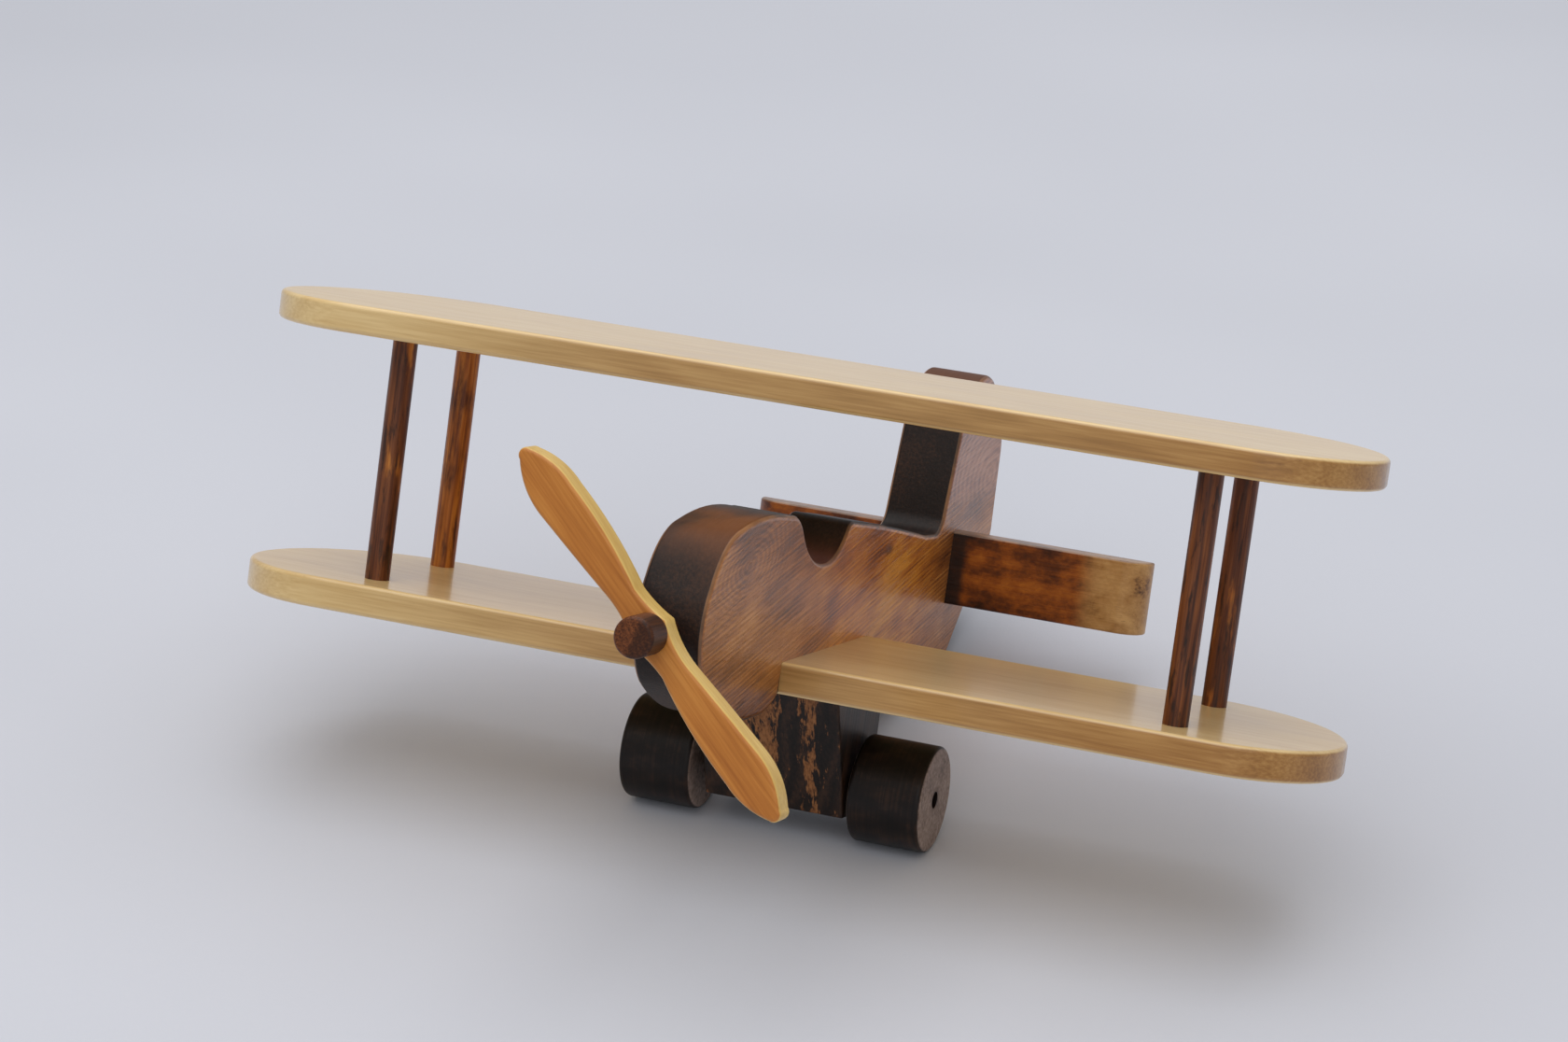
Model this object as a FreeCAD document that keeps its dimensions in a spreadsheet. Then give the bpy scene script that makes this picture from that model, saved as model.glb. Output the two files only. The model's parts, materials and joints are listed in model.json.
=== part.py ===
import FreeCAD, Part
import math
import os
import Sketcher

# A wooden biplane of glued boards and dowels.  Millimetres throughout.
#
# Everything is drawn in the airframe's own axes: X to port, Y aft, Z square to
# the wings, with the origin on the underside of the lower wing, at its leading
# edge, on the fuselage's middle plane.  At the end the whole model is pitched
# nose up onto its wheels and tail foot, which stand on Z = 0.

DIMENSIONS = {
    # wings: two planks cut to the same outline
    "wing_span": 290.0,
    "wing_chord": 68.5,
    "wing_offset": -1.3,
    "tip_front_radius": 27.0,
    "lower_wing_thickness": 8.0,
    "upper_wing_thickness": 7.4,
    "wing_gap": 62.5,
    "wing_edge_radius": 1.2,
    # interplane struts: plain dowels glued in blind sockets
    "strut_diameter": 6.35,
    "strut_spacing": 211.5,
    "strut_front": 14.4,
    "strut_rear": 56.1,
    "socket_depth": 4.5,
    "strut_tenon": 4.2,
    # fuselage: one board with the fin in one piece
    "fuselage_thickness": 17.2,
    # tailplane: a plank on edge through a mortise in the fuselage
    "tail_span": 114.0,
    "tail_depth": 8.0,
    "tail_height": 20.0,
    "tail_front": 137.6,
    "tail_base": 10.2,
    "tail_offset": 7.0,
    "tail_tip_radius": 7.0,
    "tail_edge_radius": 0.6,
    # landing gear block under the lower wing
    "block_width": 37.5,
    "block_top_front": 16.9,
    "block_bottom_front": 35.6,
    "block_back": 56.3,
    "block_height": 34.4,
    "block_edge_radius": 0.8,
    # wheels glued on an axle that turns in the block
    "axle_aft": 45.0,
    "axle_drop": 26.9,
    "axle_diameter": 4.4,
    "axle_bore": 4.52,
    "wheel_diameter": 27.4,
    "wheel_width": 19.3,
    "wheel_edge_radius": 1.2,
    "wheel_recess": 1.5,
    "port_clearance": 1.2,
    "starboard_clearance": 3.8,
    # nose peg and the propeller that spins on it
    "nose_front": -61.7,
    "peg_height": 20.9,
    "peg_front": -84.4,
    "peg_head_diameter": 9.8,
    "peg_head_length": 9.4,
    "peg_head_rounding": 1.0,
    "peg_shank_diameter": 5.5,
    "peg_bore_depth": 14.0,
    "peg_bore_lead": 1.0,
    "peg_tenon": 13.5,
    "hub_clearance": 0.3,
    "hub_bore": 5.62,
    "propeller_thickness": 7.0,
    "propeller_length": 104.0,
    "propeller_angle": 135.3,
}

SHEET = "Dimensions"

doc = FreeCAD.newDocument("biplane")
sheet = doc.addObject("Spreadsheet::Sheet", SHEET)
for row, (alias, number) in enumerate(DIMENSIONS.items(), start=1):
    sheet.set("A%d" % row, alias)
    sheet.set("B%d" % row, str(number))
    sheet.setAlias("B%d" % row, alias)
doc.recompute()

parts = {}


def size(alias):
    """A driving dimension, read back from the sheet."""
    return float(sheet.get(alias))


def resolve(formula):
    """A formula with its <alias> names spelled as cells of the sheet."""
    return formula.replace("<", SHEET + ".").replace(">", "")


def number(formula):
    return float(sheet.evalExpression(resolve(formula)))


def bind(feature, **formulas):
    """Tie properties of a feature to formulas over the sheet's aliases."""
    for name, formula in formulas.items():
        feature.setExpression(name, resolve(formula))


def start_body(node):
    body = doc.addObject("PartDesign::Body", node)
    body.Label = node
    parts[node] = body
    return body


def start_sketch(body, plane, name, height=None):
    """A sketch on one of the body's own origin planes, raised by a formula if given."""
    sketch = body.newObject("Sketcher::SketchObject", name)
    origin = [item for item in body.Origin.OriginFeatures if item.Role == plane][0]
    sketch.AttachmentSupport = [(origin, "")]
    sketch.MapMode = "FlatFace"
    if height:
        bind(sketch, **{"AttachmentOffset.Base.z": height})
    return sketch


def flat(first, second):
    return FreeCAD.Vector(first, second, 0)


def draw_outline(sketch, start, steps):
    """A closed outline of lines (end,) and three-point arcs (through, end).

    The sketcher keeps arcs counter-clockwise, so a clockwise one is drawn from
    its far end; arrive and leave hold the vertex numbers at each edge's ends.
    """
    here = start
    arrive = []
    leave = []
    for step in steps:
        there = step[-1]
        clockwise = False
        if len(step) == 1:
            edge = Part.LineSegment(flat(*here), flat(*there))
        else:
            through = step[0]
            turn = (through[0] - here[0]) * (there[1] - here[1])
            turn -= (through[1] - here[1]) * (there[0] - here[0])
            clockwise = turn < 0
            ends = (there, here) if clockwise else (here, there)
            edge = Part.Arc(flat(*ends[0]), flat(*through), flat(*ends[1]))
        sketch.addGeometry(edge, False)
        arrive.append(2 if clockwise else 1)
        leave.append(1 if clockwise else 2)
        here = there
    for index in range(len(steps)):
        follower = (index + 1) % len(steps)
        joint = (index, leave[index], follower, arrive[follower])
        sketch.addConstraint(Sketcher.Constraint("Coincident", *joint))


def tie(sketch, edge, vertex, across, along):
    """Hold one vertex of a sketch at a place given by two formulas."""
    for kind, formula in (("DistanceX", across), ("DistanceY", along)):
        place = Sketcher.Constraint(kind, -1, 1, edge, vertex, number(formula))
        bind(sketch, **{"Constraints[%d]" % sketch.addConstraint(place): formula})


def draw_circle(sketch, diameter, across="0", along="0"):
    """A circle whose diameter and centre follow the sheet."""
    centre = flat(number(across), number(along))
    upward = FreeCAD.Vector(0, 0, 1)
    edge = sketch.addGeometry(Part.Circle(centre, upward, number(diameter) / 2), False)
    width = Sketcher.Constraint("Diameter", edge, number(diameter))
    bind(sketch, **{"Constraints[%d]" % sketch.addConstraint(width): diameter})
    tie(sketch, edge, 3, across, along)


def draw_polygon(sketch, corners):
    """A closed polygon whose corners are pairs of formulas over the sheet."""
    points = [flat(number(across), number(along)) for across, along in corners]
    count = len(points)
    for index in range(count):
        follower = points[(index + 1) % count]
        sketch.addGeometry(Part.LineSegment(points[index], follower), False)
    for index, (across, along) in enumerate(corners):
        joint = ((index - 1) % count, 2, index, 1)
        sketch.addConstraint(Sketcher.Constraint("Coincident", *joint))
        tie(sketch, index, 1, across, along)


def pad(body, sketch, length, midplane=False, reverse=False):
    feature = body.newObject("PartDesign::Pad", sketch.Name + "_pad")
    feature.Profile = sketch
    bind(feature, Length=length)
    if midplane:
        feature.SideType = "Symmetric"
    feature.Reversed = reverse
    doc.recompute()
    return feature


def pocket(body, sketch, length, midplane=False, reverse=False):
    before = body.Shape.Volume
    feature = body.newObject("PartDesign::Pocket", sketch.Name + "_cut")
    feature.Profile = sketch
    bind(feature, Length=length)
    if midplane:
        feature.SideType = "Symmetric"
    feature.Reversed = reverse
    doc.recompute()
    if body.Shape.Volume > before - 1e-3:
        raise RuntimeError("%s cuts nothing from %s" % (feature.Name, body.Label))
    return feature


def round_edges(body, base, radius, wanted):
    """Fillet every edge of the base feature that the test accepts."""
    names = []
    for number, edge in enumerate(base.Shape.Edges, start=1):
        if wanted(edge):
            names.append("Edge%d" % number)
    feature = body.newObject("PartDesign::Fillet", base.Name + "_rounding")
    feature.Base = (base, names)
    bind(feature, Radius=radius)
    doc.recompute()
    return feature


def lies_flat(axis, levels):
    """A test for edges that lie wholly in one of the planes axis = level."""

    def test(edge):
        box = edge.BoundBox
        low = getattr(box, axis + "Min")
        high = getattr(box, axis + "Max")
        return any(abs(low - level) < 1e-4 and abs(high - level) < 1e-4 for level in levels)

    return test


# ---------------------------------------------------------------- wings

def wing_steps():
    """The plank's outline: a quick turn at the front corners, a slow one behind."""
    chord = size("wing_chord")
    middle = size("wing_offset")
    half = size("wing_span") / 2
    front = size("tip_front_radius")
    rear = chord - front
    slant = math.sqrt(0.5)
    start = (middle - half + front, 0)
    steps = [((middle + half - front, 0),)]
    for side in (1, -1):
        corner_front = (
            (middle + side * (half - front + front * slant), front - front * slant),
            (middle + side * half, front),
        )
        corner_rear = (
            (middle + side * (half - rear + rear * slant), front + rear * slant),
            (middle + side * (half - rear), chord),
        )
        if side == 1:
            steps += [corner_front, corner_rear, ((middle - half + rear, chord),)]
        else:
            steps.append((corner_rear[0], (middle - half, front)))
            steps.append((corner_front[0], start))
    return start, steps


def build_wing(node, thickness, underside, socket_plane, sockets_down):
    body = start_body(node)
    outline = start_sketch(body, "XY_Plane", node + "_outline", underside)
    draw_outline(outline, *wing_steps())
    plank = pad(body, outline, thickness)
    box = plank.Shape.BoundBox
    round_edges(body, plank, "<wing_edge_radius>", lies_flat("Z", (box.ZMin, box.ZMax)))
    sockets = start_sketch(body, "XY_Plane", node + "_sockets", socket_plane)
    for side in ("+", "-"):
        for station in ("<strut_front>", "<strut_rear>"):
            across = "<wing_offset> %s <strut_spacing> / 2" % side
            draw_circle(sockets, "<strut_diameter>", across, station)
    pocket(body, sockets, "<socket_depth>", reverse=not sockets_down)


build_wing("lower_wing", "<lower_wing_thickness>", "0", "<lower_wing_thickness>", True)
build_wing(
    "upper_wing",
    "<upper_wing_thickness>",
    "<lower_wing_thickness> + <wing_gap>",
    "<lower_wing_thickness> + <wing_gap>",
    False,
)

# ---------------------------------------------------------------- struts

STRUT_LENGTH = "<wing_gap> + 2 * <strut_tenon>"


def build_dowel(node, plane, near_end, diameter, across, along, length):
    """A round stick standing square to one of the origin planes."""
    body = start_body(node)
    section = start_sketch(body, plane, node + "_section", near_end)
    draw_circle(section, diameter, across, along)
    pad(body, section, length)


for side_name, side_sign in (("port", "+"), ("starboard", "-")):
    for station_name, station in (("front", "<strut_front>"), ("rear", "<strut_rear>")):
        node = "strut_%s_%s" % (station_name, side_name)
        across = "<wing_offset> %s <strut_spacing> / 2" % side_sign
        foot_of_strut = "<lower_wing_thickness> - <strut_tenon>"
        build_dowel(node, "XY_Plane", foot_of_strut, "<strut_diameter>", across, station, STRUT_LENGTH)

# ---------------------------------------------------------------- fuselage

# Side outline, seen from port: (aft, up), in lines (end,) and arcs (through, end).
# It starts with the notch that seats the lower wing and ends with the tail foot
# that the model stands on.
CHIN = (0.0, -0.6)
NOSE_AND_COWL = [
    ((-7.0, -3.6), (-15.0, -4.2)),
    ((-36.0, -1.8), (-54.0, 6.0)),
    ((-61.7, 19.0), (-58.6, 32.0)),
    ((-52.4, 39.8), (-42.0, 44.0)),
    ((-26.0, 45.8), (-6.0, 44.7)),
]
COCKPIT = [
    ((0.2, 43.5), (4.5, 40.2)),
    ((13.0, 33.4), (25.0, 30.5)),
    ((34.4, 32.6), (40.8, 38.4)),
    ((43.0, 39.6), (46.0, 39.6)),
]
BACK_AND_FIN = [
    ((79.0, 35.9), (112.0, 31.1)),
    ((120.6, 30.8),),
    ((124.8, 32.2), (126.6, 35.5)),
    ((133.2, 62.0),),
    ((139.8, 69.4), (151.0, 73.2)),
    ((156.9, 72.2), (161.8, 69.6)),
    ((171.3, 61.8), (175.8, 50.6)),
    ((176.7, 30.0),),
    ((176.5, 26.9), (174.8, 24.3)),
]
FOOT_CENTRE = (141.6, -4.6)
FOOT_RADIUS = 4.0
HEEL_ANGLE = -45.0
TOE_ANGLE = -100.0
BELLY_MIDDLE = (104.0, -6.2)
BELLY_END = (size("wing_chord"), -2.0)


def around_foot(angle):
    turn = math.radians(angle)
    across = FOOT_RADIUS * math.cos(turn)
    up = FOOT_RADIUS * math.sin(turn)
    return (FOOT_CENTRE[0] + across, FOOT_CENTRE[1] + up)


fuselage = start_body("fuselage")
side_view = start_sketch(fuselage, "YZ_Plane", "fuselage_outline")
seat_front = (0.0, size("lower_wing_thickness"))
seat_back = (size("wing_chord"), size("lower_wing_thickness"))
sole = (around_foot((HEEL_ANGLE + TOE_ANGLE) / 2), around_foot(TOE_ANGLE))
underside = [(around_foot(HEEL_ANGLE),), sole, (BELLY_MIDDLE, BELLY_END), (seat_back,), (seat_front,)]
draw_outline(side_view, seat_front, [(CHIN,)] + NOSE_AND_COWL + COCKPIT + BACK_AND_FIN + underside)
pad(fuselage, side_view, "<fuselage_thickness>", midplane=True)

mortise = start_sketch(fuselage, "YZ_Plane", "tail_mortise")
draw_polygon(
    mortise,
    [
        ("<tail_front>", "<tail_base>"),
        ("<tail_front> + <tail_depth>", "<tail_base>"),
        ("<tail_front> + <tail_depth>", "<tail_base> + <tail_height>"),
        ("<tail_front>", "<tail_base> + <tail_height>"),
    ],
)
pocket(fuselage, mortise, "2 * <fuselage_thickness>", midplane=True)

# The XZ plane faces forward, so a raised sketch lies nearer the nose.  The bore
# starts a little ahead of the nose, because the nose is round.
bore = start_sketch(fuselage, "XZ_Plane", "peg_bore", "<peg_bore_lead> - <nose_front>")
draw_circle(bore, "<peg_shank_diameter>", "0", "<peg_height>")
pocket(fuselage, bore, "<peg_bore_depth> + <peg_bore_lead>")

# ---------------------------------------------------------------- tailplane

tailplane = start_body("tailplane")
tail_plan = start_sketch(tailplane, "XY_Plane", "tailplane_outline", "<tail_base>")
tail_right = size("tail_offset") + size("tail_span") / 2
tail_left = size("tail_offset") - size("tail_span") / 2
tail_front = size("tail_front")
tail_back = tail_front + size("tail_depth")
tip = size("tail_tip_radius")
sag = tip * (1 - math.sqrt(0.5))
draw_outline(
    tail_plan,
    (tail_left + tip, tail_front),
    [
        ((tail_right - tip, tail_front),),
        ((tail_right - sag, tail_front + sag), (tail_right, tail_front + tip)),
        ((tail_right, tail_back),),
        ((tail_left, tail_back),),
        ((tail_left, tail_front + tip),),
        ((tail_left + sag, tail_front + sag), (tail_left + tip, tail_front)),
    ],
)
tail_plank = pad(tailplane, tail_plan, "<tail_height>")
tail_box = tail_plank.Shape.BoundBox
round_edges(
    tailplane, tail_plank, "<tail_edge_radius>", lies_flat("Z", (tail_box.ZMin, tail_box.ZMax))
)

# ---------------------------------------------------------------- landing gear

block = start_body("landing_gear_block")
block_side = start_sketch(block, "YZ_Plane", "block_outline")
draw_polygon(
    block_side,
    [
        ("<block_top_front>", "0"),
        ("<block_bottom_front>", "-<block_height>"),
        ("<block_back>", "-<block_height>"),
        ("<block_back>", "0"),
    ],
)
block_pad = pad(block, block_side, "<block_width>", midplane=True)


def below_the_wing(edge):
    return edge.BoundBox.ZMin < -1e-4


round_edges(block, block_pad, "<block_edge_radius>", below_the_wing)
block_bore = start_sketch(block, "YZ_Plane", "axle_bore")
draw_circle(block_bore, "<axle_bore>", "<axle_aft>", "-<axle_drop>")
pocket(block, block_bore, "2 * <block_width>", midplane=True)


def build_wheel(node, inner_face, outward):
    """A plain turned wheel, bored right through for the axle it is glued on."""
    body = start_body(node)
    tread = start_sketch(body, "YZ_Plane", node + "_tread", inner_face)
    draw_circle(tread, "<wheel_diameter>", "<axle_aft>", "-<axle_drop>")
    disc = pad(body, tread, "<wheel_width>", reverse=not outward)
    box = disc.Shape.BoundBox
    round_edges(body, disc, "<wheel_edge_radius>", lies_flat("X", (box.XMin, box.XMax)))
    hole = start_sketch(body, "YZ_Plane", node + "_hole", inner_face)
    draw_circle(hole, "<axle_diameter>", "<axle_aft>", "-<axle_drop>")
    pocket(body, hole, "2 * <wheel_width>", midplane=True)


build_wheel("wheel_port", "<block_width> / 2 + <port_clearance>", True)
build_wheel("wheel_starboard", "-<block_width> / 2 - <starboard_clearance>", False)

wheels_apart = "<block_width> + <port_clearance> + <starboard_clearance>"
axle_length = wheels_apart + " + 2 * <wheel_width> - 2 * <wheel_recess>"
axle_end = "<wheel_recess> - <wheel_width> - <starboard_clearance> - <block_width> / 2"
build_dowel(
    "axle", "YZ_Plane", axle_end, "<axle_diameter>", "<axle_aft>", "-<axle_drop>", axle_length
)

# ---------------------------------------------------------------- nose peg

peg = start_body("propeller_peg")
head_circle = start_sketch(peg, "XZ_Plane", "peg_head", "-<peg_front>")
draw_circle(head_circle, "<peg_head_diameter>", "0", "<peg_height>")
head = pad(peg, head_circle, "<peg_head_length>", reverse=True)
peg_front = size("peg_front")
round_edges(peg, head, "<peg_head_rounding>", lies_flat("Y", (peg_front,)))
shank_circle = start_sketch(peg, "XZ_Plane", "peg_shank", "-<peg_front> - <peg_head_length>")
draw_circle(shank_circle, "<peg_shank_diameter>", "0", "<peg_height>")
shank_length = "<nose_front> - <peg_front> - <peg_head_length> + <peg_tenon>"
pad(peg, shank_circle, shank_length, reverse=True)

# ---------------------------------------------------------------- propeller

# One blade, drawn along +X from the hub; turned half round it gives the other.
# The leading side is nearly straight and the trailing side carries the belly.
HUB_SIDE = (0.0, 5.2)
BLADE = [
    ((5.0, 3.6), (12.0, 3.1)),
    ((25.0, 4.2), (36.0, 5.0)),
    ((44.4, 4.2), (50.2, 1.4)),
    ((51.9, -0.5), (50.6, -2.3)),
    ((45.0, -4.9), (38.0, -5.7)),
    ((24.0, -5.5), (10.0, -3.6)),
    ((5.0, -4.0), (0.0, -5.2)),
]
BLADE_REACH = 52.0

propeller = start_body("propeller")
front_view = start_sketch(propeller, "XZ_Plane", "propeller_outline")
turn = FreeCAD.Rotation(FreeCAD.Vector(0, 0, 1), 1)
front_view.AttachmentOffset = FreeCAD.Placement(flat(0, 0), turn)
propeller_front = "-<peg_front> - <peg_head_length> - <hub_clearance>"
bind(
    front_view,
    **{
        "AttachmentOffset.Base.y": "<peg_height>",
        "AttachmentOffset.Base.z": propeller_front,
        "AttachmentOffset.Rotation.Angle": "<propeller_angle>",
    }
)
stretch = size("propeller_length") / 2 / BLADE_REACH
both_blades = []
for sign in (1, -1):
    for step in BLADE:
        both_blades.append(tuple((sign * stretch * x, sign * y) for x, y in step))
draw_outline(front_view, HUB_SIDE, both_blades)
pad(propeller, front_view, "<propeller_thickness>", reverse=True)
hub = start_sketch(propeller, "XZ_Plane", "hub_bore", propeller_front)
draw_circle(hub, "<hub_bore>", "0", "<peg_height>")
pocket(propeller, hub, "<propeller_thickness>")

# ---------------------------------------------------------------- resting pose

# The model rests on its wheels and the round of its tail foot.  Both touch the
# ground when their centres, less their radii, are level.
between = (FOOT_CENTRE[0] - size("axle_aft"), -size("axle_drop") - FOOT_CENTRE[1])
rise = size("wheel_diameter") / 2 - FOOT_RADIUS
pitch = math.asin(rise / math.hypot(*between)) - math.atan2(between[1], between[0])
nose_up = FreeCAD.Placement(flat(0, 0), FreeCAD.Rotation(FreeCAD.Vector(1, 0, 0), -math.degrees(pitch)))

doc.recompute()
bounds = FreeCAD.BoundBox()
for part in parts.values():
    standing = part.Shape.copy()
    standing.Placement = nose_up.multiply(standing.Placement)
    bounds.add(standing.optimalBoundingBox(True, False))
middle = bounds.Center
to_ground = FreeCAD.Vector(-middle.x, -middle.y, -bounds.ZMin)
rest = FreeCAD.Placement(to_ground, nose_up.Rotation)
for part in parts.values():
    part.Placement = rest.multiply(part.Placement)
doc.recompute()

# ---------------------------------------------------------------- checks, files

for item in doc.Objects:
    if "Invalid" in item.State or "Error" in item.State:
        raise RuntimeError("%s did not compute: %s" % (item.Label, item.State))
for node, part in parts.items():
    if part.Shape.isNull() or not part.Shape.isValid():
        raise RuntimeError("%s has no valid shape" % node)
    if len(part.Shape.Solids) != 1:
        raise RuntimeError("%s is not one solid" % node)

os.makedirs("parts", exist_ok=True)
for node, part in parts.items():
    part.Shape.exportStep(os.path.join("parts", node + ".step"))
    print("%-24s %9.0f mm3" % (node, part.Shape.Volume))
print("pitch %.2f degrees" % math.degrees(pitch))
print("size %.1f x %.1f x %.1f mm" % (bounds.XLength, bounds.YLength, bounds.ZLength))
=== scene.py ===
import json
import math

import bmesh
import bpy
from mathutils import Matrix, Vector


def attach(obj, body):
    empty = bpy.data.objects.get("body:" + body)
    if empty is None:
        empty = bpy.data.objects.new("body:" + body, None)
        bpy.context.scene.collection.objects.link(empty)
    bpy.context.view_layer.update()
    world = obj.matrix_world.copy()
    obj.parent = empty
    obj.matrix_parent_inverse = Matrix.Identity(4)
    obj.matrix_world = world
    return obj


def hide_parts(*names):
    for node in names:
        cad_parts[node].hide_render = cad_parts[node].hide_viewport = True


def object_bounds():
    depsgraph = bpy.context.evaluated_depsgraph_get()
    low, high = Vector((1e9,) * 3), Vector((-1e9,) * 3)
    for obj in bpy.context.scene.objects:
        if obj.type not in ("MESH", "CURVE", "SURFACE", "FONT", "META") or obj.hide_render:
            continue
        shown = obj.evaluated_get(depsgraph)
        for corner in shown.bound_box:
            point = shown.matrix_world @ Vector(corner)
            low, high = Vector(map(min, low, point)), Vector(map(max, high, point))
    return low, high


# A wooden biplane on a pale floor.  Metres, in the row's frame throughout: X to
# port, Y aft, Z up.  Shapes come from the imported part, except that the fuselage
# and the propeller get rounded edges.  Every wood finish is worked out in the
# airframe's own axes (across, aft, up), which are pitched nose up at rest.

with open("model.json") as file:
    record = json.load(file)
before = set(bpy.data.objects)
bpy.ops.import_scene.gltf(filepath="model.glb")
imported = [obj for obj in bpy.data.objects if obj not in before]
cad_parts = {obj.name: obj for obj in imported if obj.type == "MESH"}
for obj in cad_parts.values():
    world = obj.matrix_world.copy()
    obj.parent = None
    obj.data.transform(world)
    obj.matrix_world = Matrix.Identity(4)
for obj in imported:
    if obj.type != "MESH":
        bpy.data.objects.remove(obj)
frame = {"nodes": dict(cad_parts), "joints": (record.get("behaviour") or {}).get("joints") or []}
cad_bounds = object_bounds()

# ---------------------------------------------------------------- airframe axes

AXLE_AFT = 0.045
AXLE_DROP = 0.0269
HALF_BOARD = 0.0086

JOINTS = {joint["name"]: joint for joint in frame["joints"]}
FORWARD = Vector(JOINTS["propeller_spin"]["axis"]).normalized()
ACROSS_AXIS = Vector((1, 0, 0))
AFT_AXIS = -FORWARD
UP_AXIS = ACROSS_AXIS.cross(AFT_AXIS)
AXLE = Vector(JOINTS["wheel_spin"]["pos_m"])
ORIGIN = Vector((0, AXLE.y, AXLE.z)) - AFT_AXIS * AXLE_AFT + UP_AXIS * AXLE_DROP
MIDDLE = AXLE.x
HUB = Vector(JOINTS["propeller_spin"]["pos_m"])
HUB_UP = (HUB - ORIGIN).dot(UP_AXIS)


def in_airframe(point):
    """A point of the row's frame as (across, aft, up) from the fuselage's middle plane."""
    offset = point - ORIGIN
    return (point.x - MIDDLE, offset.dot(AFT_AXIS), offset.dot(UP_AXIS))


# ---------------------------------------------------------------- finishes

# Sockets of the colour form of the Mix node, which share their names with others.
MIX_FIRST, MIX_SECOND, MIX_RESULT = 6, 7, 2

# Feature sizes of the wood's figure along, across and through the grain.
FIBRE_SIZES = (0.022, 0.0007, 0.0007)
PORE_SIZES = (0.006, 0.00035, 0.00035)
CLOUD_SIZES = (0.055, 0.018, 0.018)
DRIFT_SIZES = (0.09, 0.022, 0.022)
WOBBLE_SIZES = (0.05, 0.012, 0.012)
PORE_RANGE = (0.60, 0.74)
RINGS_THICKER = 1.7


def tint(red, green, blue):
    """A colour given as 0 to 255 on screen, in the linear values a shader takes."""
    linear = []
    for level in (red / 255, green / 255, blue / 255):
        dark = level <= 0.04045
        linear.append(level / 12.92 if dark else ((level + 0.055) / 1.055) ** 2.4)
    return (*linear, 1.0)


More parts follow.
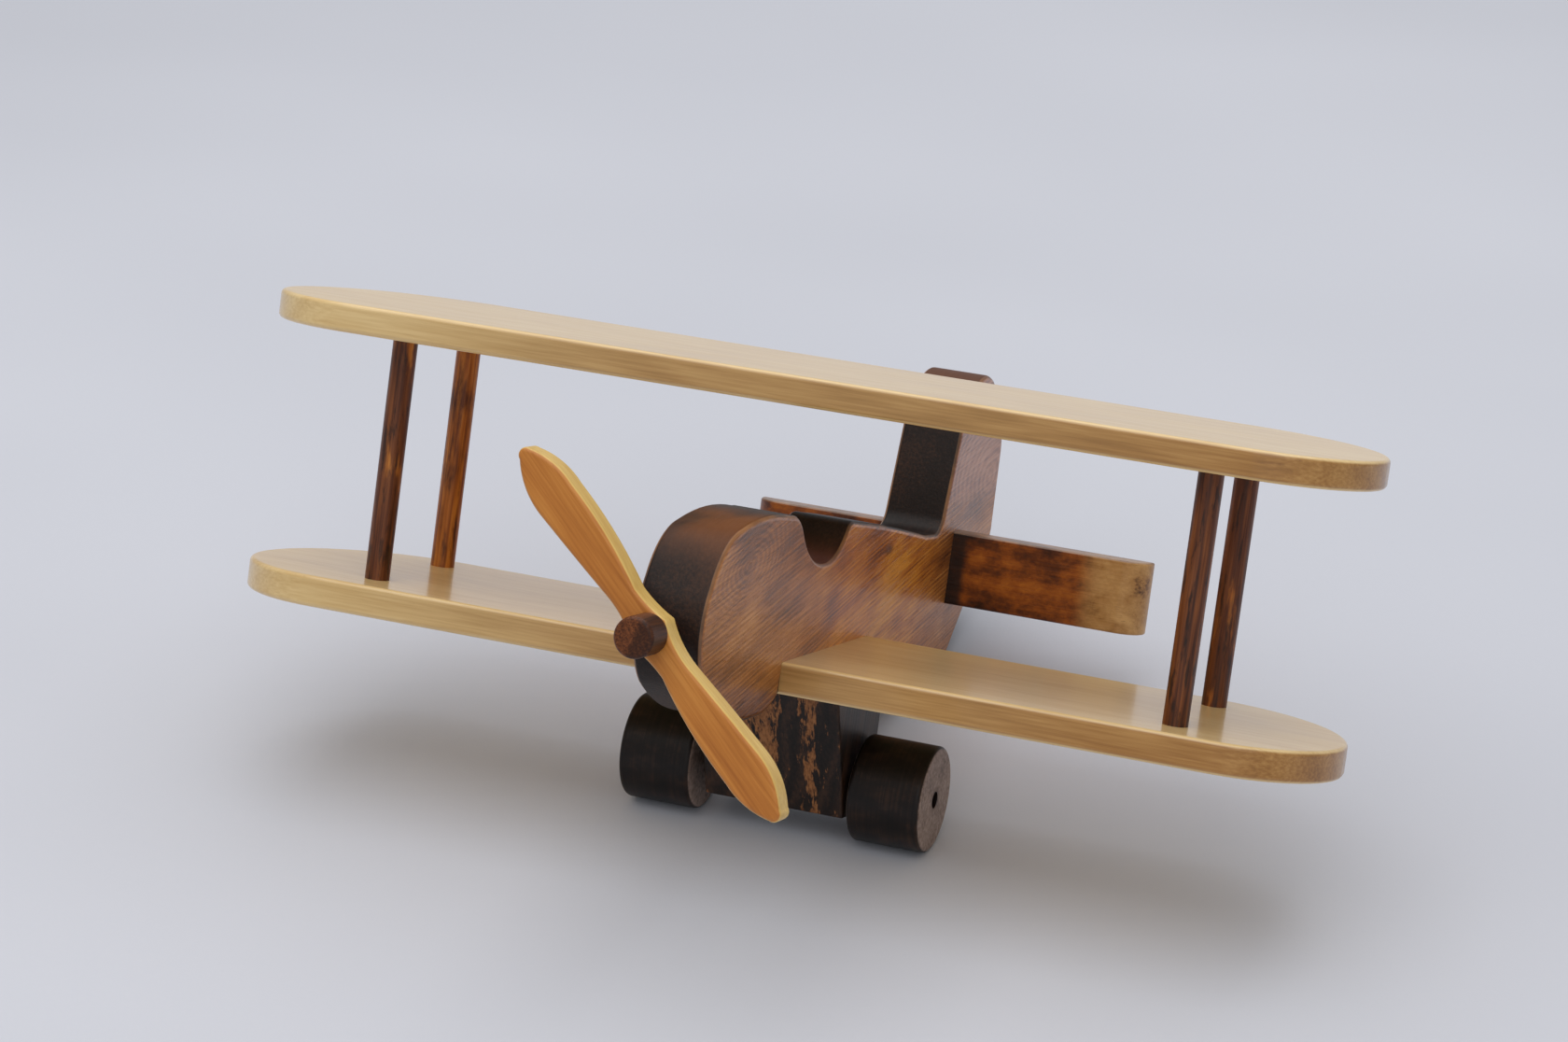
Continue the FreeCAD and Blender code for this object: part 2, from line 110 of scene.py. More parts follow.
class Finish:
    """A procedural material, with the airframe's axes ready as sockets."""

    def __init__(self, name, roughness, coat, coat_roughness, specular=0.5):
        self.material = bpy.data.materials.new(name)
        self.material.use_nodes = True
        self.tree = self.material.node_tree
        self.shader = self.tree.nodes["Principled BSDF"]
        self.shader.inputs["Roughness"].default_value = roughness
        self.shader.inputs["Coat Weight"].default_value = coat
        self.shader.inputs["Coat Roughness"].default_value = coat_roughness
        self.shader.inputs["Specular IOR Level"].default_value = specular
        spots = self.node("TexCoord")
        self.place = spots.outputs["Object"]
        offset = self.vector("SUBTRACT", self.place, (MIDDLE, ORIGIN.y, ORIGIN.z))
        self.across, self.aft, self.up = self.split(offset)
        facing = self.split(spots.outputs["Normal"])
        self.face_across, self.face_aft, self.face_up = facing

    def node(self, kind, inputs=None, **settings):
        made = self.tree.nodes.new("ShaderNode" + kind)
        for key, value in settings.items():
            setattr(made, key, value)
        for key, value in (inputs or {}).items():
            self.feed(made.inputs[key], value)
        return made

    def feed(self, socket, value):
        if isinstance(value, bpy.types.NodeSocket):
            self.tree.links.new(value, socket)
        else:
            socket.default_value = value

    def vector(self, operation, first, second):
        made = self.node("VectorMath", {0: first, 1: second}, operation=operation)
        return made.outputs["Vector"]

    def dot(self, first, second):
        made = self.node("VectorMath", {0: first, 1: second}, operation="DOT_PRODUCT")
        return made.outputs["Value"]

    def split(self, vector):
        """The three parts of a vector along the airframe's axes."""
        return tuple(self.dot(vector, axis) for axis in (ACROSS_AXIS, AFT_AXIS, UP_AXIS))

    def math(self, operation, *values):
        inputs = dict(enumerate(values))
        return self.node("Math", inputs, operation=operation).outputs["Value"]

    def add(self, *values):
        total = values[0]
        for value in values[1:]:
            total = self.math("ADD", total, value)
        return total

    def times(self, *values):
        total = values[0]
        for value in values[1:]:
            total = self.math("MULTIPLY", total, value)
        return total

    def size(self, value):
        return self.math("ABSOLUTE", value)

    def inverse(self, value):
        return self.math("SUBTRACT", 1.0, value)

    def length(self, first, second):
        """The length of a flat vector with these two parts."""
        squares = self.add(self.times(first, first), self.times(second, second))
        return self.math("SQRT", squares)

    def wave(self, turns):
        """0 to 1 and back once in every turn."""
        sine = self.math("SINE", self.times(turns, math.tau))
        return self.times(self.add(sine, 1.0), 0.5)

    def step(self, value, low, high):
        """0 below low, 1 above high, smooth between them."""
        inputs = {"Value": value, "From Min": low, "From Max": high}
        made = self.node("MapRange", inputs, interpolation_type="SMOOTHSTEP")
        return made.outputs["Result"]

    def band(self, value, low, high, soft):
        """1 between low and high, 0 outside them, smooth over twice the soft width."""
        rise = self.step(value, low - soft, low + soft)
        return self.times(rise, self.inverse(self.step(value, high - soft, high + soft)))

    def noise(self, places, sizes, detail=3.0, roughness=0.55):
        """Noise from 0 to 1, whose features have these sizes along the three places."""
        scaled = [self.math("DIVIDE", *pair) for pair in zip(places, sizes)]
        joined = self.node("CombineXYZ", dict(enumerate(scaled))).outputs["Vector"]
        inputs = {"Vector": joined, "Scale": 1.0, "Detail": detail, "Roughness": roughness}
        return self.node("TexNoise", inputs).outputs["Fac"]

    def mix(self, amount, first, second):
        made = self.node("Mix", data_type="RGBA")
        self.feed(made.inputs["Factor"], amount)
        self.feed(made.inputs[MIX_FIRST], first)
        self.feed(made.inputs[MIX_SECOND], second)
        return made.outputs[MIX_RESULT]

    def over(self, colour, mask, strength, levels):
        """A colour with one flat colour laid over it where the mask is."""
        return self.mix(self.times(mask, strength), colour, tint(*levels))

    def ramp(self, value, *stops):
        """A colour ramp through stops, each a place and then red, green, blue."""
        made = self.node("ValToRGB", {"Fac": value})
        elements = made.color_ramp.elements
        while len(elements) < len(stops):
            elements.new(0.5)
        for element, (place, *levels) in zip(elements, stops):
            element.position = place
            element.color = tint(*levels)
        return made.outputs["Color"]

    def bump(self, height, depth, strength):
        inputs = {"Height": height, "Strength": strength, "Distance": depth}
        made = self.node("Bump", inputs)
        self.feed(self.shader.inputs["Normal"], made.outputs["Normal"])

    def rough(self, value):
        self.feed(self.shader.inputs["Roughness"], value)

    def finish(self, colour):
        self.feed(self.shader.inputs["Base Color"], colour)
        return self.material


class Timber:
    """The figure of a board: fibres, pores, growth rings and clouds, each 0 to 1."""

    def __init__(self, finish, along, wide, thick, ring, wander=2.2, seed=0.0):
        self.finish = finish
        self.along = along
        self.wide = wide
        self.places = (finish.add(along, seed), wide, thick)
        self.fibres = finish.noise(self.places, FIBRE_SIZES, detail=4.0)
        pores = finish.noise(self.places, PORE_SIZES, detail=2.0)
        self.pores = finish.step(pores, *PORE_RANGE)
        self.clouds = finish.noise(self.places, CLOUD_SIZES, detail=2.0)
        drift = finish.noise(self.places, DRIFT_SIZES, detail=2.0)
        turns = finish.add(
            finish.math("DIVIDE", wide, ring),
            finish.math("DIVIDE", thick, ring * RINGS_THICKER),
            finish.times(drift, wander * 2),
        )
        self.rings = finish.wave(turns)

    def rings_round(self, heart, stretch, spacing, wander):
        """Rings round a heart at (along, wide): their wave, 0 to 1, and the distance."""
        finish = self.finish
        long_way = finish.math("DIVIDE", finish.add(self.along, -heart[0]), stretch)
        short_way = finish.add(self.wide, -heart[1])
        radius = finish.length(long_way, short_way)
        wobble = finish.noise(self.places, WOBBLE_SIZES, detail=2.0)
        turns = finish.add(
            finish.math("DIVIDE", radius, spacing), finish.times(wobble, wander)
        )
        return finish.wave(turns), radius

    def tone(self, fibres, rings, clouds):
        """One value round 0.5 that mixes the figure in these shares."""
        finish = self.finish
        return finish.add(
            finish.times(self.fibres, fibres),
            finish.times(self.rings, rings),
            finish.times(self.clouds, clouds),
        )

    def specks(self, sizes, low, high):
        """Scattered flecks, where noise of these sizes is above low."""
        finish = self.finish
        return finish.step(finish.noise(self.places, sizes), low, high)


def wing_finish(name, seed, port_darkening):
    """Pale plank under gloss varnish, its sawn edges darker to port, with a few specks."""
    finish = Finish(name, roughness=0.34, coat=0.5, coat_roughness=0.12)
    board = Timber(finish, finish.across, finish.aft, finish.up, ring=0.009, seed=seed)
    tone = board.tone(fibres=0.55, rings=0.08, clouds=0.37)
    face = finish.ramp(
        tone, (0.30, 212, 174, 112), (0.48, 226, 192, 132), (0.70, 236, 207, 152)
    )
    light_edge = finish.ramp(tone, (0.32, 206, 168, 106), (0.68, 232, 202, 144))
    tan_edge = finish.ramp(
        tone, (0.32, 132, 86, 32), (0.50, 162, 112, 50), (0.68, 186, 138, 74)
    )
    # The sawn edges go from pale at starboard through tan in the middle to darker at port.
    to_port = finish.add(
        finish.times(finish.step(finish.across, -0.135, -0.02), 0.72),
        finish.times(finish.step(finish.across, 0.02, 0.14), port_darkening),
    )
    edge = finish.mix(to_port, light_edge, tan_edge)
    on_edge = finish.inverse(finish.step(finish.size(finish.face_up), 0.25, 0.8))
    colour = finish.mix(on_edge, face, edge)
    colour = finish.over(colour, board.pores, 0.14, (150, 108, 54))
    specks = board.specks((0.0022, 0.0010, 0.0010), 0.76, 0.80)
    colour = finish.over(colour, specks, 0.55, (104, 66, 32))
    finish.rough(finish.math("MULTIPLY_ADD", board.clouds, 0.14, 0.27))
    finish.bump(board.fibres, 0.00010, 0.3)
    return finish.finish(colour)


# Where the fuselage's figure lies, as (aft, up) or as a range of one of them.
GRAIN_LEAN = math.radians(12)
NOSE_HEART = (-0.026, 0.041)
NOSE_HEART_FADE = (0.006, 0.020)
FIN_HEART = (0.172, 0.008)
FIN_STARTS_UP = (0.034, 0.044)
FIN_STARTS_AFT = (0.10, 0.12)
FIN_TOP_UP = (0.056, 0.072)
GOLDEN_AFT = (0.028, 0.118)
KNOT_AFT, KNOT_UP = 0.078, 0.0300
KNOT_LONG, KNOT_HIGH = 0.0042, 0.0017
WARM_NOSE_AFT = (-0.052, -0.022)
WARM_NOSE_UP = (0.030, 0.042)
COCKPIT_AFT = (0.014, 0.034)
COCKPIT_FLOOR_UP = (0.022, 0.028)


def fuselage_finish(name, coat, specular):
    """Brown board: figured sides with a painted pinkish sheen on the fin, near-black rims, pale
    where handling wore the edges.
    """
    finish = Finish(name, 0.36, coat, coat_roughness=0.2, specular=specular)
    cosine, sine = math.cos(GRAIN_LEAN), math.sin(GRAIN_LEAN)
    along = finish.add(finish.times(finish.aft, cosine), finish.times(finish.up, sine))
    wide = finish.add(finish.times(finish.up, cosine), finish.times(finish.aft, -sine))
    board = Timber(finish, along, wide, finish.across, ring=0.0013, wander=1.5)

    # Growth rings show round a heart near the top of the nose, and on the fin.
    swirl, from_heart = board.rings_round(NOSE_HEART, 2.1, 0.0014, 5.0)
    near_heart = finish.inverse(finish.step(from_heart, *NOSE_HEART_FADE))
    arcs, from_fin_heart = board.rings_round(FIN_HEART, 1.5, 0.0024, 3.0)
    on_fin = finish.times(
        finish.step(finish.up, *FIN_STARTS_UP), finish.step(finish.aft, *FIN_STARTS_AFT)
    )
    broad = finish.noise(board.places, (0.026, 0.010, 0.02))
    figure = finish.add(
        board.tone(0.34, 0.055, 0.16),
        finish.times(broad, 0.445),
        finish.times(near_heart, finish.add(swirl, -0.5), 0.07),
        finish.times(on_fin, finish.add(arcs, -0.5), 0.11),
    )

    brown = finish.ramp(
        figure,
        (0.36, 84, 42, 12),
        (0.46, 138, 78, 28),
        (0.55, 176, 108, 46),
        (0.66, 206, 140, 74),
    )
    golden = finish.ramp(
        figure, (0.37, 112, 54, 4), (0.47, 188, 106, 14), (0.60, 234, 156, 44)
    )
    towards_tail = finish.band(finish.aft, *GOLDEN_AFT, 0.022)
    side = finish.mix(finish.times(towards_tail, 0.95), brown, golden)
    # On the fin the sides are mixed towards pinkish browns: the grain's figure with a painted
    # reflection of the bright surroundings in the varnish.
    fin_grain_and_painted_sheen = finish.ramp(
        figure, (0.36, 120, 66, 44), (0.50, 172, 112, 82), (0.64, 196, 138, 106)
    )
    side = finish.mix(on_fin, side, fin_grain_and_painted_sheen)
    side = finish.over(side, board.pores, 0.4, (66, 32, 12))

    # A small knot in the golden part.
    from_knot = finish.length(
        finish.math("DIVIDE", finish.add(finish.aft, -KNOT_AFT), KNOT_LONG),
        finish.math("DIVIDE", finish.add(finish.up, -KNOT_UP), KNOT_HIGH),
    )
    knot = finish.inverse(finish.step(from_knot, 0.3, 1.3))
    side = finish.over(side, knot, 0.7, (70, 36, 14))

    stain = finish.ramp(
        board.tone(0.45, 0.0, 0.55),
        (0.34, 16, 9, 6),
        (0.50, 32, 19, 13),
        (0.68, 62, 38, 24),
    )
    warm = finish.times(
        finish.band(finish.aft, *WARM_NOSE_AFT, 0.012),
        finish.step(finish.noise(board.places, (0.03, 0.02, 0.012)), 0.30, 0.66),
        finish.step(finish.up, *WARM_NOSE_UP),
    )
    rim = finish.over(stain, warm, 0.7, (128, 72, 26))
    fin_top = finish.step(finish.up, *FIN_TOP_UP)
    rim = finish.over(rim, fin_top, 0.55, (124, 78, 54))
    cockpit_floor = finish.times(
        finish.band(finish.aft, *COCKPIT_AFT, 0.006),
        finish.step(finish.up, *COCKPIT_FLOOR_UP),
    )
    rim = finish.over(rim, cockpit_floor, 0.6, (104, 52, 34))

    flatness = finish.size(finish.face_across)
    on_side = finish.step(flatness, 0.80, 0.97)
    colour = finish.mix(on_side, rim, side)
    worn = finish.times(
        finish.band(flatness, 0.45, 0.93, 0.10),
        finish.step(finish.noise(board.places, (0.020, 0.014, 0.014)), 0.26, 0.70),
    )
    colour = finish.over(colour, worn, 0.8, (172, 118, 70))
    pitting = finish.noise(board.places, (0.004, 0.0012, 0.0012))
    height = finish.add(board.fibres, pitting, finish.times(board.pores, -0.5))
    height = finish.times(height, finish.math("MULTIPLY_ADD", on_side, 0.65, 0.35))
    finish.bump(height, 0.0003, 0.55)
    duller = finish.times(finish.inverse(on_side), 0.16)
    finish.rough(finish.add(duller, finish.times(board.clouds, 0.16), 0.26))
    return finish.finish(colour)


def tailplane_finish():
    """Orange-brown plank, mottled by uneven stain, dark at the root from a glue stain and
    painted contact shadow, paler at the tip, with a painted highlight along its top.
    """
    finish = Finish("Tailplane_wood", 0.36, coat=0.15, coat_roughness=0.16, specular=0.4)
    board = Timber(finish, finish.across, finish.up, finish.aft, ring=0.0016)
    mottle = finish.noise(
        board.places, (0.011, 0.0075, 0.0075), detail=5.0, roughness=0.68
    )
    tone = finish.add(board.tone(0.12, 0.0, 0.14), finish.times(mottle, 0.74))
    colour = finish.ramp(
        tone, (0.37, 42, 17, 3), (0.47, 96, 44, 6), (0.56, 146, 74, 13), (0.68, 186, 106, 28)
    )
    tip_wood = finish.ramp(
        tone, (0.38, 100, 62, 28), (0.46, 172, 122, 64), (0.62, 206, 158, 96)
    )
    colour = finish.mix(finish.step(finish.across, 0.044, 0.052), colour, tip_wood)
    from_side = finish.size(finish.across)
    # Near the fuselage the plank goes near-black: a dark glue stain at the joint together with
    # painted contact shadow where the fuselage meets it.
    clear_of_root_stain_and_shadow = finish.step(from_side, HALF_BOARD + 0.0030, HALF_BOARD + 0.0055)
    colour = finish.over(colour, finish.inverse(clear_of_root_stain_and_shadow), 0.9, (20, 11, 8))
    # Painted highlight: the top face is mixed towards a paler grey-brown, as where light catches
    # it.
    on_top_highlight = finish.step(finish.face_up, 0.30, 0.65)
    painted_top_highlight = finish.ramp(tone, (0.40, 112, 84, 64), (0.60, 168, 138, 112))
    colour = finish.mix(finish.times(on_top_highlight, 0.8), colour, painted_top_highlight)
    colour = finish.over(colour, board.pores, 0.35, (44, 20, 6))
    finish.rough(finish.math("MULTIPLY_ADD", mottle, 0.25, 0.24))
    finish.bump(board.fibres, 0.00018, 0.45)
    return finish.finish(colour)


def block_finish():
    """Near-black block whose front shows pale streaks that the stain missed."""
    finish = Finish("Block_wood", 0.42, coat=0.06, coat_roughness=0.24, specular=0.3)
    board = Timber(finish, finish.up, finish.across, finish.aft, ring=0.006)
    colour = finish.ramp(
        board.tone(0.5, 0.2, 0.3), (0.34, 14, 8, 5), (0.50, 32, 19, 12), (0.68, 60, 38, 24)
    )
    groups = finish.add(
        finish.band(finish.across, -0.0090, 0.0025, 0.0022),
        finish.times(finish.band(finish.across, 0.0080, 0.0125, 0.0016), 0.8),
    )
    ragged = finish.noise(board.places, (0.013, 0.0019, 0.004), detail=5.0, roughness=0.66)
    missed = finish.times(
        finish.step(finish.math("MULTIPLY_ADD", groups, 0.19, ragged), 0.62, 0.68),
        finish.step(finish.times(finish.face_aft, -1.0), 0.5, 0.8),
    )
    bare = finish.ramp(board.fibres, (0.35, 112, 66, 32), (0.60, 168, 110, 62))
    colour = finish.mix(finish.times(missed, 0.85), colour, bare)
    finish.bump(board.fibres, 0.0002, 0.5)
    return finish.finish(colour)


def wheel_finish(name, seed):
    """Near-black tread with faint turning lines, and pinkish-grey end grain outside."""
    finish = Finish(name, 0.42, coat=0.04, coat_roughness=0.28, specular=0.25)
    high = finish.add(finish.up, AXLE_DROP)
    back = finish.add(finish.aft, -AXLE_AFT)
    board = Timber(finish, finish.across, high, back, ring=0.0022, wander=1.6, seed=seed)
    places = (finish.across, high, back)
    lines = finish.noise(places, (0.0007, 0.03, 0.03))
    scuffs = finish.noise(places, (0.009, 0.006, 0.006), detail=4.0)
    tread = finish.ramp(
        finish.add(finish.times(lines, 0.35), finish.times(scuffs, 0.65)),
        (0.36, 14, 9, 7),
        (0.52, 26, 17, 13),
        (0.70, 58, 38, 26),
    )
    ends = finish.noise((high, back, finish.across), (0.0011, 0.0011, 0.01), detail=4.0)
    grain = finish.add(
        finish.times(ends, 0.6), finish.times(scuffs, 0.38), finish.times(board.rings, 0.02)
    )
    grey = finish.ramp(
        grain, (0.36, 98, 78, 68), (0.50, 144, 122, 110), (0.64, 172, 150, 138)
    )
    grimy = finish.inverse(finish.step(finish.length(high, back), 0.0022, 0.0042))
    grey = finish.over(grey, grimy, 0.55, (74, 46, 32))
    on_face = finish.step(finish.size(finish.face_across), 0.72, 0.95)
    colour = finish.mix(on_face, tread, grey)
    finish.bump(finish.add(lines, scuffs), 0.00012, 0.35)
    return finish.finish(colour)


def strut_finish(name, seed, warm):
    """Dark red-brown dowel with black streaks; warm is how much orange shows through."""
    finish = Finish(name, 0.42, coat=0.10, coat_roughness=0.22, specular=0.35)
    board = Timber(finish, finish.up, finish.across, finish.aft, ring=0.003, seed=seed)
    tone = board.tone(0.55, 0.10, 0.35)
    dark = finish.ramp(tone, (0.36, 44, 18, 6), (0.50, 92, 46, 18), (0.64, 130, 74, 34))
    orange = finish.ramp(
        tone, (0.36, 124, 62, 14), (0.50, 176, 102, 32), (0.64, 206, 134, 56)
    )
    patches = finish.noise(board.places, (0.018, 0.0035, 0.0035), detail=4.0)
    low, high = 0.74 - 0.42 * warm, 0.90 - 0.42 * warm
    colour = finish.mix(finish.step(patches, low, high), dark, orange)
    black = finish.noise(
        board.places, (0.010, 0.0016, 0.0016), detail=5.0, roughness=0.65
    )
    streaks = finish.step(black, 0.52, 0.64)
    colour = finish.over(colour, streaks, 0.85 - 0.55 * warm, (14, 8, 5))
    finish.bump(board.fibres, 0.00018, 0.5)
    return finish.finish(colour)


def propeller_finish():
    """Honey-coloured blades whose rounded edges are sanded to pale yellow."""
    finish = Finish("Propeller_wood", 0.42, coat=0.12, coat_roughness=0.22, specular=0.4)
    high = finish.add(finish.up, -HUB_UP)
    slant = math.sqrt(0.5)
    along = finish.add(finish.times(finish.across, -slant), finish.times(high, slant))
    wide = finish.add(finish.times(finish.across, slant), finish.times(high, slant))
    board = Timber(finish, along, wide, finish.aft, ring=0.0045, wander=1.0)
    tone = board.tone(0.55, 0.06, 0.39)
    face = finish.ramp(
        tone, (0.32, 164, 94, 28), (0.50, 190, 118, 44), (0.68, 208, 138, 60)
    )
    edge = finish.ramp(tone, (0.32, 206, 162, 80), (0.66, 232, 198, 118))
    on_face = finish.step(finish.size(finish.face_aft), 0.45, 0.80)
    colour = finish.mix(on_face, edge, face)
    specks = board.specks((0.0016, 0.0007, 0.0007), 0.70, 0.76)
    colour = finish.over(colour, specks, 0.35, (140, 84, 40))
    finish.bump(board.fibres, 0.00012, 0.4)
    return finish.finish(colour)


def peg_finish():
    """Red-brown peg: end grain on its head, one half of it darker."""
    finish = Finish("Peg_wood", 0.45, coat=0.04, coat_roughness=0.25, specular=0.25)
    high = finish.add(finish.up, -HUB_UP)
    board = Timber(finish, finish.aft, finish.across, high, ring=0.0016, wander=0.8)
    grain = finish.noise((finish.across, high, finish.aft), (0.0004, 0.0004, 0.01))
    tone = finish.add(finish.times(grain, 0.9), finish.times(board.rings, 0.1))
    red = finish.ramp(tone, (0.34, 66, 32, 13), (0.52, 98, 52, 24), (0.70, 130, 74, 38))
    slanting = finish.add(finish.across, finish.times(high, -0.3))
    dark_half = finish.step(slanting, -0.0006, 0.0008)
    colour = finish.over(red, dark_half, 0.62, (30, 13, 6))
    finish.bump(grain, 0.00015, 0.5)
    return finish.finish(colour)


def axle_finish():
    """Plain dowel, grey-brown from handling."""
    finish = Finish("Axle_wood", roughness=0.5, coat=0.15, coat_roughness=0.3)
    board = Timber(finish, finish.across, finish.up, finish.aft, ring=0.002)
    colour = finish.ramp(
        board.tone(0.6, 0.2, 0.2), (0.34, 56, 38, 28), (0.52, 92, 66, 48), (0.70, 120, 90, 66)
    )
    finish.bump(board.fibres, 0.00015, 0.5)
    return finish.finish(colour)


# ---------------------------------------------------------------- pieces

MERGE_WITHIN = 2e-6
FLAT_WITHIN = math.radians(0.4)
SHARP_ABOVE = math.radians(40)
INSET_PER_RADIUS = 1.1
SQUARE_TO_AXIS = 0.99
ALONG_AXIS = 0.05


def rounded_copy(node, name, axis, wanted, radius, segments):
    """A board shaped like a CAD node, its faces square to the axis rounded at their edges.

    The faces are inset first, so that each corner of the outline has an edge of
    its own to round along.
    """
    mesh = frame["nodes"][node].data.copy()
    mesh.name = name
    if "custom_normal" in mesh.attributes:
        mesh.attributes.remove(mesh.attributes["custom_normal"])
    build = bmesh.new()
    build.from_mesh(mesh)
    bmesh.ops.remove_doubles(build, verts=build.verts, dist=MERGE_WITHIN)
    bmesh.ops.dissolve_limit(
        build, angle_limit=FLAT_WITHIN, verts=build.verts, edges=build.edges
    )
    build.normal_update()
    faces = [face for face in build.faces if abs(face.normal.dot(axis)) > SQUARE_TO_AXIS]
    bmesh.ops.inset_region(
        build,
        faces=faces,
        thickness=radius * INSET_PER_RADIUS,
        use_even_offset=True,
        use_boundary=True,
    )
    build.normal_update()
    edges = [edge for edge in build.edges if len(edge.link_faces) == 2 and wanted(edge)]
    bmesh.ops.bevel(
        build,
        geom=edges,
        offset=radius,
        offset_type="OFFSET",
        segments=segments,
        profile=0.5,
        affect="EDGES",
        clamp_overlap=False,
    )
    bmesh.ops.recalc_face_normals(build, faces=build.faces)
    build.to_mesh(mesh)
    build.free()
    mesh.materials.clear()
    mesh.shade_smooth()
    mesh.set_sharp_from_angle(angle=SHARP_ABOVE)
    piece = bpy.data.objects.new(name, mesh)
    bpy.context.scene.collection.objects.link(piece)
    weighted = piece.modifiers.new("even_shading", "WEIGHTED_NORMAL")
    weighted.keep_sharp = True
    return piece


def meets_square(edge, axis):
    """Whether an edge joins a face square to the axis and one along it."""
    leans = sorted(abs(face.normal.dot(axis)) for face in edge.link_faces)
    return leans[0] < ALONG_AXIS and leans[1] > SQUARE_TO_AXIS


SEAT_UP = 0.008
WING_CHORD = 0.0685
MORTISE_AFT = (0.1376, 0.1456)
MORTISE_UP = (0.0102, 0.0302)
NEAR = 0.0003
OUTSIDE_BORE = 0.0034


def within(value, low, high):
    return low - NEAR < value < high + NEAR


def on_outer_edge(edge):
    """Edges round the fuselage's outline, but not where wing or tailplane is let in."""
    if not meets_square(edge, ACROSS_AXIS):
        return False
    places = [in_airframe(vertex.co) for vertex in edge.verts]
    if any(abs(across) < HALF_BOARD - NEAR for across, aft, up in places):
        return False
    in_mortise = all(
        within(aft, *MORTISE_AFT) and within(up, *MORTISE_UP) for across, aft, up in places
    )
    on_seat = all(
        within(aft, 0, WING_CHORD) and up < SEAT_UP + NEAR for across, aft, up in places
    )
    return not in_mortise and not on_seat


def on_blade_edge(edge):
    """Edges round the propeller's outline, but not round its bore."""
    if not meets_square(edge, AFT_AXIS):
        return False
    middle = (edge.verts[0].co + edge.verts[1].co) / 2 - HUB
    return (middle - AFT_AXIS * middle.dot(AFT_AXIS)).length > OUTSIDE_BORE


FUSELAGE_ROUNDING = 0.0013
PROPELLER_ROUNDING = 0.0010
RIM_FACING = 0.5

fuselage = rounded_copy(
    "fuselage", "fuselage_board", ACROSS_AXIS, on_outer_edge, FUSELAGE_ROUNDING, 4
)
propeller = rounded_copy(
    "propeller", "propeller_blades", AFT_AXIS, on_blade_edge, PROPELLER_ROUNDING, 5
)

side_wood = fuselage_finish("Fuselage_side_wood", coat=0.25, specular=0.5)
rim_wood = fuselage_finish("Fuselage_rim_wood", coat=0.02, specular=0.22)
for piece, node, body, slot, materials in (
    (fuselage, "fuselage", "airframe", "fuselage_wood", (side_wood, rim_wood)),
    (propeller, "propeller", "propeller", "propeller_wood", (propeller_finish(),)),
):
    for material in materials:
        piece.data.materials.append(material)
    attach(piece, body)
    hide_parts(node)

for face in fuselage.data.polygons:
    face.material_index = int(abs(face.normal.dot(ACROSS_AXIS)) < RIM_FACING)

FINISHES = {
    "lower_wing": ("wing_wood", wing_finish("Lower_wing_wood", 0.37, 0.45)),
    "upper_wing": ("wing_wood", wing_finish("Upper_wing_wood", 1.91, 0.25)),
    "strut_front_starboard": ("strut_wood", strut_finish("Strut_wood_1", 0.1, 0.35)),
    "strut_rear_starboard": ("strut_wood", strut_finish("Strut_wood_2", 0.6, 0.95)),
    "strut_front_port": ("strut_wood", strut_finish("Strut_wood_3", 1.3, 0.15)),
    "strut_rear_port": ("strut_wood", strut_finish("Strut_wood_4", 1.9, 0.40)),
    "tailplane": ("tailplane_wood", tailplane_finish()),
    "landing_gear_block": ("block_wood", block_finish()),
    "wheel_port": ("wheel_wood", wheel_finish("Wheel_wood_1", 0.2)),
    "wheel_starboard": ("wheel_wood", wheel_finish("Wheel_wood_2", 0.8)),
    "axle": ("axle_wood", axle_finish()),
    "propeller_peg": ("peg_wood", peg_finish()),
}
for name, (slot, material) in FINISHES.items():
    node = frame["nodes"][name]
    for place in node.material_slots:
        place.material = material

# ---------------------------------------------------------------- floor, light

FLOOR_REACH = 6.0
FLOOR_STEPS = 24
SHADE_SIZES = (0.5, 0.35, 0.5)
WEAVE_SIZES = (0.0008, 0.0008, 0.0008)
SKY_COLOUR = (0.95, 0.97, 1.0, 1.0)
SKY_STRENGTH = 0.40

floor_mesh = bpy.data.meshes.new("floor")
build = bmesh.new()
bmesh.ops.create_grid(
    build, x_segments=FLOOR_STEPS, y_segments=FLOOR_STEPS, size=FLOOR_REACH
)
build.to_mesh(floor_mesh)
build.free()
floor = bpy.data.objects.new("floor", floor_mesh)
bpy.context.scene.collection.objects.link(floor)
cloth = Finish("Floor_cloth", roughness=0.9, coat=0.0, coat_roughness=0.5)
parts = cloth.node("SeparateXYZ", {"Vector": cloth.place}).outputs
shade = cloth.noise((parts["X"], parts["Y"], parts["Z"]), SHADE_SIZES, detail=2.0)
weave = cloth.noise((parts["X"], parts["Y"], parts["Z"]), WEAVE_SIZES, detail=2.0)
cloth.bump(weave, 0.0001, 0.3)
pale = cloth.ramp(shade, (0.3, 202, 204, 212), (0.7, 211, 213, 221))
floor_mesh.materials.append(cloth.finish(pale))

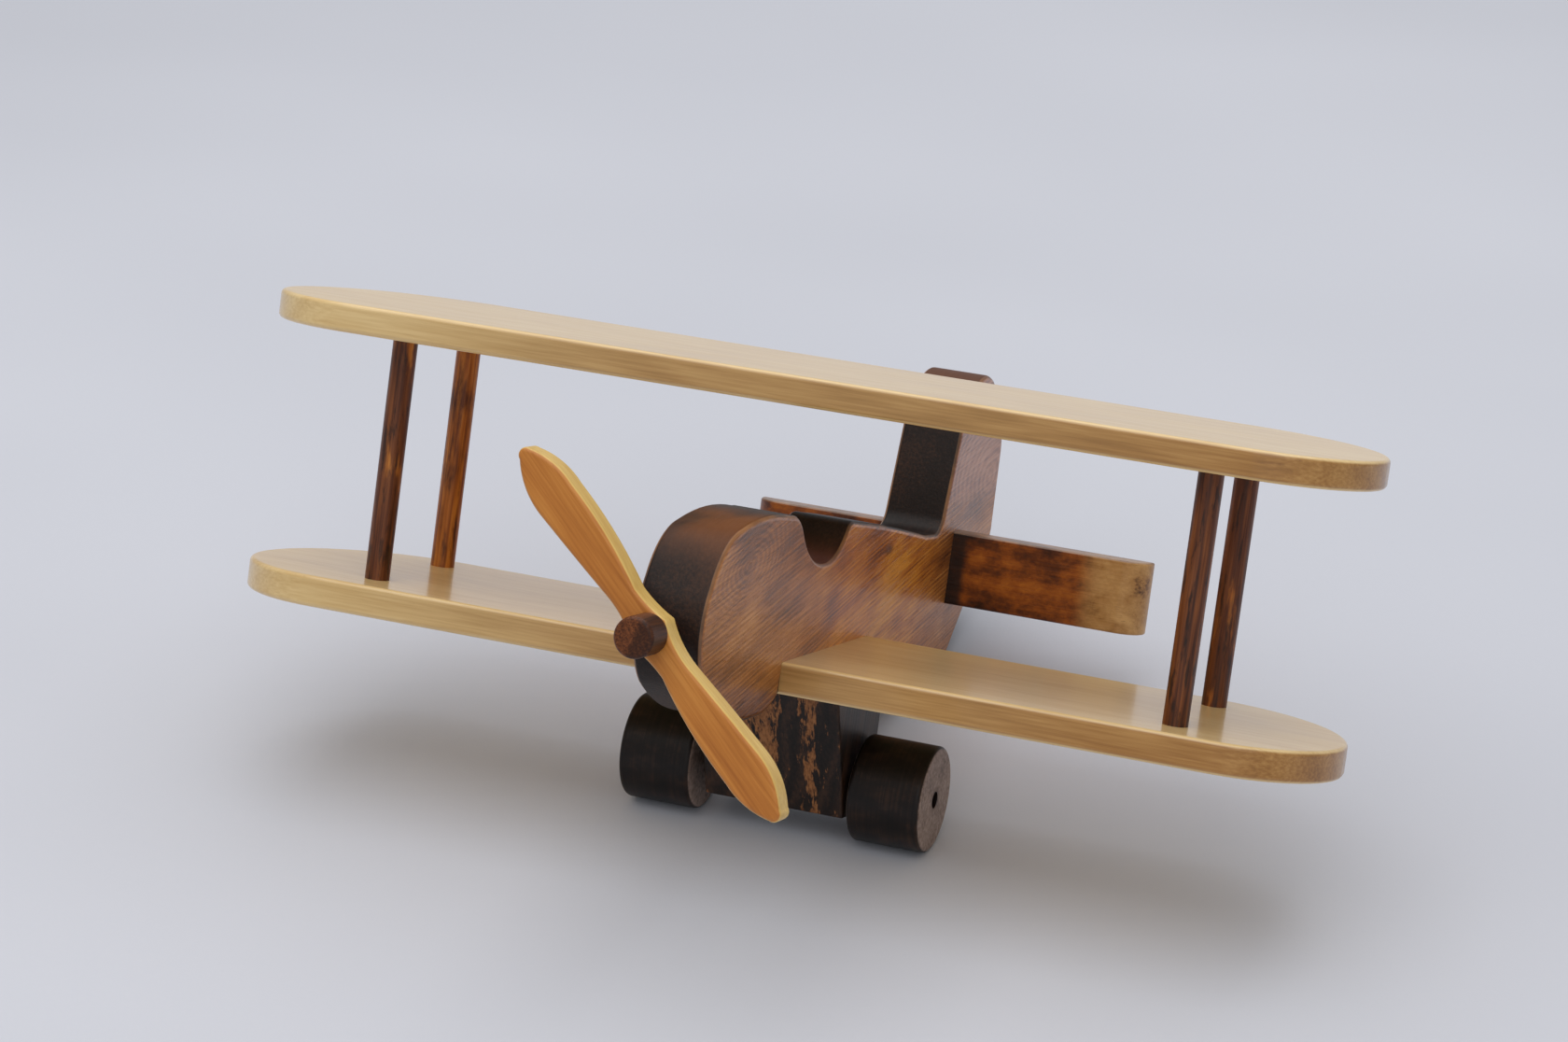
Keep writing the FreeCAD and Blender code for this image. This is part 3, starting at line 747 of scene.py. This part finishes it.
world = bpy.data.worlds.new("studio")
bpy.context.scene.world = world
world.use_nodes = True
sky = world.node_tree.nodes["Background"]
sky.inputs["Color"].default_value = SKY_COLOUR
sky.inputs["Strength"].default_value = SKY_STRENGTH


def area_light(name, place, aim, width, depth, power, colour):
    lamp = bpy.data.lights.new(name, "AREA")
    lamp.shape = "RECTANGLE"
    lamp.size = width
    lamp.size_y = depth
    lamp.energy = power
    lamp.color = colour
    made = bpy.data.objects.new(name, lamp)
    made.location = place
    made.rotation_euler = (Vector(aim) - Vector(place)).to_track_quat("-Z", "Y").to_euler()
    bpy.context.scene.collection.objects.link(made)


area_light("key", (-0.10, 0.02, 1.45), (0, 0.02, 0), 2.8, 1.5, 21.0, (1.0, 0.99, 0.985))
area_light("fill", (0.6, -1.7, 1.2), (0, 0, 0.05), 1.6, 1.2, 4.0, (0.99, 0.99, 1.0))

# ---------------------------------------------------------------- camera

CAMERA_AZIMUTH = math.radians(19.78)
CAMERA_ELEVATION = math.radians(24.38)
CAMERA_ROLL = math.radians(1.34)
CAMERA_DISTANCE = 1.02
AIM_OFFSET = Vector((-0.0015, -0.0202, 0.0178))
SENSOR_MM = 36.0
LENS_MM = 93.97
SEES_TO = 50.0

low, high = (Vector(corner) for corner in cad_bounds[:2])
aim = (low + high) / 2 + AIM_OFFSET
away = Vector(
    (
        math.sin(CAMERA_AZIMUTH) * math.cos(CAMERA_ELEVATION),
        -math.cos(CAMERA_AZIMUTH) * math.cos(CAMERA_ELEVATION),
        math.sin(CAMERA_ELEVATION),
    )
)
lens = bpy.data.cameras.new("camera")
lens.sensor_width = SENSOR_MM
lens.lens = LENS_MM
lens.clip_end = SEES_TO
camera = bpy.data.objects.new("camera", lens)
level = away.to_track_quat("Z", "Y").to_matrix().to_4x4()
stand = Matrix.Translation(aim + away * CAMERA_DISTANCE)
camera.matrix_world = stand @ level @ Matrix.Rotation(CAMERA_ROLL, 4, "Z")
bpy.context.scene.collection.objects.link(camera)
bpy.context.scene.camera = camera
bpy.context.scene.view_settings.view_transform = "Standard"
